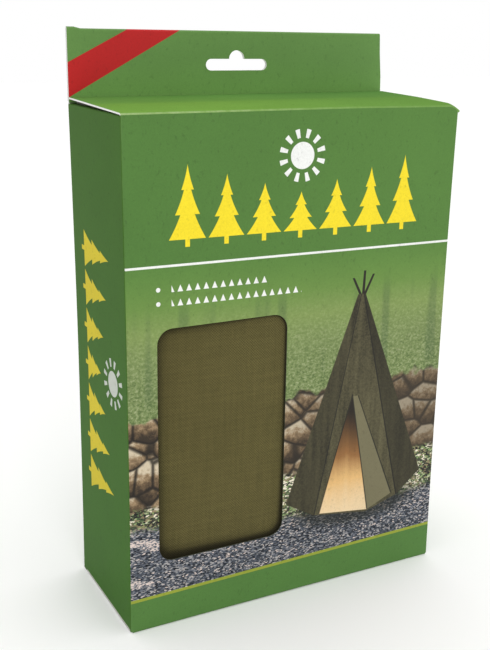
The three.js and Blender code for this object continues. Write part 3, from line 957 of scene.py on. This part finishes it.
bend = layer_pitch / 2
first_y = bundle_front + canvas_wall / 2
start_level = turn_level(0) + canvas_wall / 2
canvas = first_edge("folded_canvas", (0, first_y, start_level), half_band, (0, -1, 0))
level_now = start_level
for layer in range(layers):
    last = layer == layers - 1
    going_down = layer % 2 == 0
    inset = -canvas_wall / 2 if last else bend
    goal = turn_level(layer + 1) + (inset if going_down else -inset)
    carry(z=goal - level_now)
    level_now = goal
    if not last:
        centre = (0, first_y + layer * layer_pitch + bend, goal)
        roll_over(centre, (1, 0, 0), HALF_TURN if going_down else -HALF_TURN, 8)
band_lines = [half_band * n / 12 for n in range(-11, 12)]
cut_grid(canvas, band_lines, (1, 0, 0))
cut_grid(canvas, [bundle_foot + bundle_height * n / 18 for n in range(1, 18)], (0, 0, 1))
end_shaping()
thicken(canvas, canvas_wall, 0.7 * MM)
settle(canvas, layer_at)


def soft_creases(obj, reach, size, seed):
    """Lets cloth lie a little unevenly: low folds that run askew, and smaller dimples between them."""
    for vertex in obj.data.vertices:
        place = vertex.co
        askew = Vector((place.x * 0.8 + place.z * 0.5, place.y * 3, place.z * 0.4))
        long_fold = noise.noise(askew / size + seed)
        dimple = noise.noise(place / (size * 0.3) - seed)
        vertex.co.y += reach * (long_fold + 0.3 * dimple)


soft_creases(canvas, 0.45 * MM, 45 * MM, Vector((3.1, 0.7, 1.9)))
apply_modifier(canvas, "SUBSURF", levels=1, render_levels=1)
bpy.ops.object.shade_smooth()


def woven(name, dark, light, pitch, roughness, relief):
    """Plain-woven cloth on the piece's own map, which runs in metres along and across the cloth, darkened
    with painted shade where it lies close under something.
    """
    finish = Finish(name, roughness)
    on_cloth = finish.node("UVMap", {"uv_map": "cloth"}).outputs["UV"]
    u, v = finish.split(on_cloth, "X", "Y")
    # threads wander a little, and each is thick in one place and thin in another
    wander = finish.ramp(finish.noise(on_cloth, 70, 2), 0, 1, -0.35 * pitch, 0.35 * pitch)
    warp = finish.math("SINE", finish.times(finish.plus(u, wander), math.pi / pitch))
    weft = finish.math("SINE", finish.times(finish.plus(v, wander), math.pi / pitch))
    over = finish.times(warp, weft)
    slub_u = finish.noise(finish.join(finish.times(u, 40), finish.times(v, 700)), 1, 2)
    slub_v = finish.noise(finish.join(finish.times(u, 700), finish.times(v, 40), 5.0), 1, 2)
    pebbled = finish.noise(on_cloth, 900, 3, 0.7)
    height = finish.plus(
        finish.times(over, 0.5),
        finish.times(finish.plus(slub_u, slub_v), 0.5),
        finish.times(pebbled, 0.9),
    )
    finish.bump(height, relief)
    shade = finish.ramp(height, 0.45, 1.45)
    patches = finish.ramp(finish.noise(on_cloth, 28, 3), 0.3, 0.7, 0.0, 0.25)
    cloth = finish.mix(patches, finish.mix(shade, dark, light), dark)
    # painted shade: the cloth's colour is darkened where it lies close under something, by how little light
    # could reach it
    open_to_light = finish.node("AmbientOcclusion", {"samples": 12}, Distance=13 * MM).outputs["AO"]
    painted_shade = finish.ramp(open_to_light, 0.60, 1.0, 0.88, 0.0)
    finish.colour(finish.mix(painted_shade, cloth, finish.scaled(dark, 0.25)))
    finish.shader.inputs["Specular IOR Level"].default_value = 0.15
    finish.shader.inputs["Sheen Weight"].default_value = 0.06
    finish.shader.inputs["Sheen Roughness"].default_value = 0.6
    return finish.material


def lay_map(obj, on_cloth):
    """Maps a piece in metres: across the cloth on U, and along it on V."""
    cloth_map = obj.data.uv_layers.new(name="cloth")
    for corner in obj.data.loops:
        cloth_map.data[corner.index].uv = on_cloth(obj.data.vertices[corner.vertex_index].co)


canvas_cloth = woven(
    "olive_canvas", (0.066, 0.056, 0.016), (0.138, 0.118, 0.038), 0.62 * MM, roughness=0.92, relief=0.12 * MM
)
canvas.data.materials.append(canvas_cloth)
lay_map(canvas, lambda place: (place.x, place.z + 1.6 * round(layer_at(place))))
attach(canvas, "carton")
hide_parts("canvas_body")


# The edge binding: black tape folded over the band's two free edges at the top of the bundle, and sewn
# through with one row of stitches.

binding_wall = 1.0 * MM
binding_depth = 11 * MM
binding_reach = canvas_wall / 2 + 0.3 * MM + binding_wall / 2
tape_cloth = woven(
    "binding_tape", (0.010, 0.010, 0.010), (0.026, 0.026, 0.027), 0.9 * MM, roughness=0.85, relief=0.1 * MM
)
thread = Finish("sewing_thread", 0.7)
thread.colour((0.030, 0.028, 0.022, 1))


def row_of_stitches(name, start, count):
    """A straight row of short raised stitches along X."""
    bpy.ops.mesh.primitive_uv_sphere_add(segments=6, ring_count=4, radius=0.5, location=(0, 0, 0))
    stitch = bpy.context.object
    stitch.name = name
    stitch.scale = (2.7 * MM, 0.5 * MM, 0.5 * MM)
    stitch.location = start
    apply_place()
    apply_modifier(
        stitch,
        "ARRAY",
        count=count,
        use_relative_offset=False,
        use_constant_offset=True,
        constant_offset_displace=(3.6 * MM, 0, 0),
    )
    stitch.data.materials.append(thread.material)
    bpy.ops.object.shade_smooth()
    return stitch


for name, layer, index in (("front", 0, 0), ("rear", layers - 1, layers)):
    middle_y = first_y + layer * layer_pitch
    edge_level = turn_level(index) + canvas_wall / 2
    foot_level = edge_level - binding_depth
    start = (0, middle_y + binding_reach, foot_level)
    tape = first_edge(name + "_binding_tape", start, half_band, (0, -1, 0))
    carry(z=binding_depth)
    roll_over((0, middle_y, edge_level), (1, 0, 0), HALF_TURN, 8)
    carry(z=-binding_depth)
    cut_grid(tape, band_lines, (1, 0, 0))
    end_shaping()
    thicken(tape, binding_wall, 0.3 * MM)
    settle(tape, lambda place: layer)
    bpy.ops.object.shade_smooth()
    tape.data.materials.append(tape_cloth)
    lay_map(tape, lambda place: (place.x, place.z + (0 if place.y > middle_y else 0.3)))
    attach(tape, "carton")
    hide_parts(name + "_edge_binding")
    for face in (-1, 1):
        sewn_y = middle_y + face * (binding_reach + binding_wall / 2)
        start = (-half_band + 3 * MM, sewn_y, foot_level + 2.5 * MM)
        row = row_of_stitches(f"{name}_binding_stitches_{face + 2}", start, 41)
        settle(row, lambda place: layer)
        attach(row, "carton")


# The handles: two lengths of black webbing, one on the other, that cross the top of the bundle and go
# down both of its sides, where they are sewn into the folded canvas.

webbing = 1.8 * MM
webbing_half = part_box("lower_handle")[1].y
webbing_cloth = woven(
    "black_webbing", (0.007, 0.007, 0.008), (0.030, 0.030, 0.033), 1.5 * MM, roughness=0.7, relief=0.3 * MM
)

for node, bend_radius in (("lower_handle", 5.0 * MM), ("upper_handle", 7.1 * MM)):
    low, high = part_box(node)
    reach = high.x - webbing / 2
    top = high.z - webbing / 2
    turn = bend_radius + webbing / 2
    strap = first_edge(node + "_webbing", (-reach, 0, low.z), webbing_half, (-1, 0, 0))
    carry(z=top - turn - low.z)
    roll_over((turn - reach, 0, top - turn), (0, 1, 0), HALF_TURN / 2, 6)
    carry(x=2 * (reach - turn))
    roll_over((reach - turn, 0, top - turn), (0, 1, 0), HALF_TURN / 2, 6)
    carry(z=low.z - top + turn)
    cut_grid(strap, [6 * MM * n for n in range(-11, 12)], (1, 0, 0))
    cut_grid(strap, [webbing_half * n / 3 for n in (-2, -1, 0, 1, 2)], (0, 1, 0))
    cut_grid(strap, [low.z + 9 * MM * n for n in range(1, 10)], (0, 0, 1))
    end_shaping()
    thicken(strap, webbing, 0.5 * MM, segments=3)
    bpy.ops.object.shade_smooth()
    strap.data.materials.append(webbing_cloth)
    lay_map(strap, lambda place: (place.y, math.copysign(abs(place.x) + top - place.z, place.x)))
    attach(strap, "carton")
    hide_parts(node)


# The grip: a sleeve of the same canvas closed round both handles, hemmed at its ends, with the flap
# that closes it lying along the top.

grip_low, grip_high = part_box("handle_grip")
grip_wall = 1.2 * MM


def puffed(place):
    """How far the grip's cloth stands up off the handles: not at its ends, and unevenly between them."""
    loose = noise.noise(Vector((place.x / 0.03, place.y / 0.02, 4.2)))
    return 0.8 * MM * (1 - (place.x / grip_high.x) ** 4) * (0.6 + loose)


grip = block("canvas_grip", (grip_low + grip_high) / 2, grip_high - grip_low)
start_shaping(grip)
for end in (grip_low.x, grip_high.x):
    pick(grip, "FACE", lambda c: near(c.x, end))
    bpy.ops.mesh.delete(type="FACE")
pick_edges_along(grip, 0)
bpy.ops.mesh.bevel(offset=2.6 * MM, segments=5, affect="EDGES")
grip_lines = [4 * MM * n for n in range(-12, 13)]
cut_grid(grip, grip_lines, (1, 0, 0))
cut_grid(grip, [4 * MM * n for n in range(-4, 5)], (0, 1, 0))
end_shaping()
for vertex in grip.data.vertices:
    if vertex.co.z > (grip_low.z + grip_high.z) / 2:
        vertex.co.z += puffed(vertex.co)
thicken(grip, grip_wall, 0.35 * MM, offset=-1)
bpy.ops.object.shade_smooth()
grip.data.materials.append(canvas_cloth)
lay_map(grip, lambda place: (place.x, place.y))
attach(grip, "carton")
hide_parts("handle_grip")

flap_half = 9 * MM
flap_level = grip_high.z + 1.3 * MM
flap_lowered = 0.4 * MM
flap = first_edge("grip_closing_flap", (0, -flap_half, flap_level), grip_high.x - MM, (0, -1, 0))
carry(y=2 * flap_half)
cut_grid(flap, grip_lines, (1, 0, 0))
cut_grid(flap, [3 * MM * n for n in range(-2, 3)], (0, 1, 0))
end_shaping()
for vertex in flap.data.vertices:
    vertex.co.z += puffed(vertex.co) - flap_lowered
thicken(flap, grip_wall, 0.35 * MM)
bpy.ops.object.shade_smooth()
flap.data.materials.append(canvas_cloth)
lay_map(flap, lambda place: (place.x, place.y))
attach(flap, "carton")
for side in (-1, 1):
    start = (3 * MM - grip_high.x, side * (flap_half - 2 * MM), flap_level + 0.75 * MM)
    row = row_of_stitches(f"grip_flap_stitches_{side + 2}", start, 28)
    for vertex in row.data.vertices:
        vertex.co.z += puffed(vertex.co) - flap_lowered
    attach(row, "carton")
